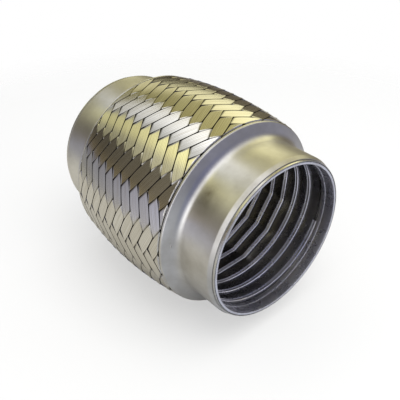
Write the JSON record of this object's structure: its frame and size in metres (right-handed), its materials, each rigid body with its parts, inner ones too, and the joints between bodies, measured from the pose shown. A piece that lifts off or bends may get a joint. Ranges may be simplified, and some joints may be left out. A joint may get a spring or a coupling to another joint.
{
  "type": "exhaust flex pipe",
  "caption": "Braided exhaust flex pipe: woven steel sleeve between two pressed end caps, over a bellows and a strip-wound liner, open at both ends.",
  "frame": {"origin": "centre of the lower mouth, on the plane that the pipe stands on", "axes": "+Z along the pipe from the lower mouth to the upper mouth"},
  "size_m": [0.086, 0.086, 0.102],
  "materials": {
    "cap_steel": "satin pressed stainless steel",
    "braid_steel": "bright drawn stainless strip, with a warm sheen",
    "bellows_steel": "bright thin stainless sheet",
    "liner_steel": "rolled stainless strip, darker in the bore"
  },
  "bodies": {
    "root": {"upper_end_cap": "cap_steel", "lower_end_cap": "cap_steel", "braid_sleeve": "braid_steel", "bellows": "bellows_steel", "interlock_liner": "liner_steel"}
  },
  "joints": []
}
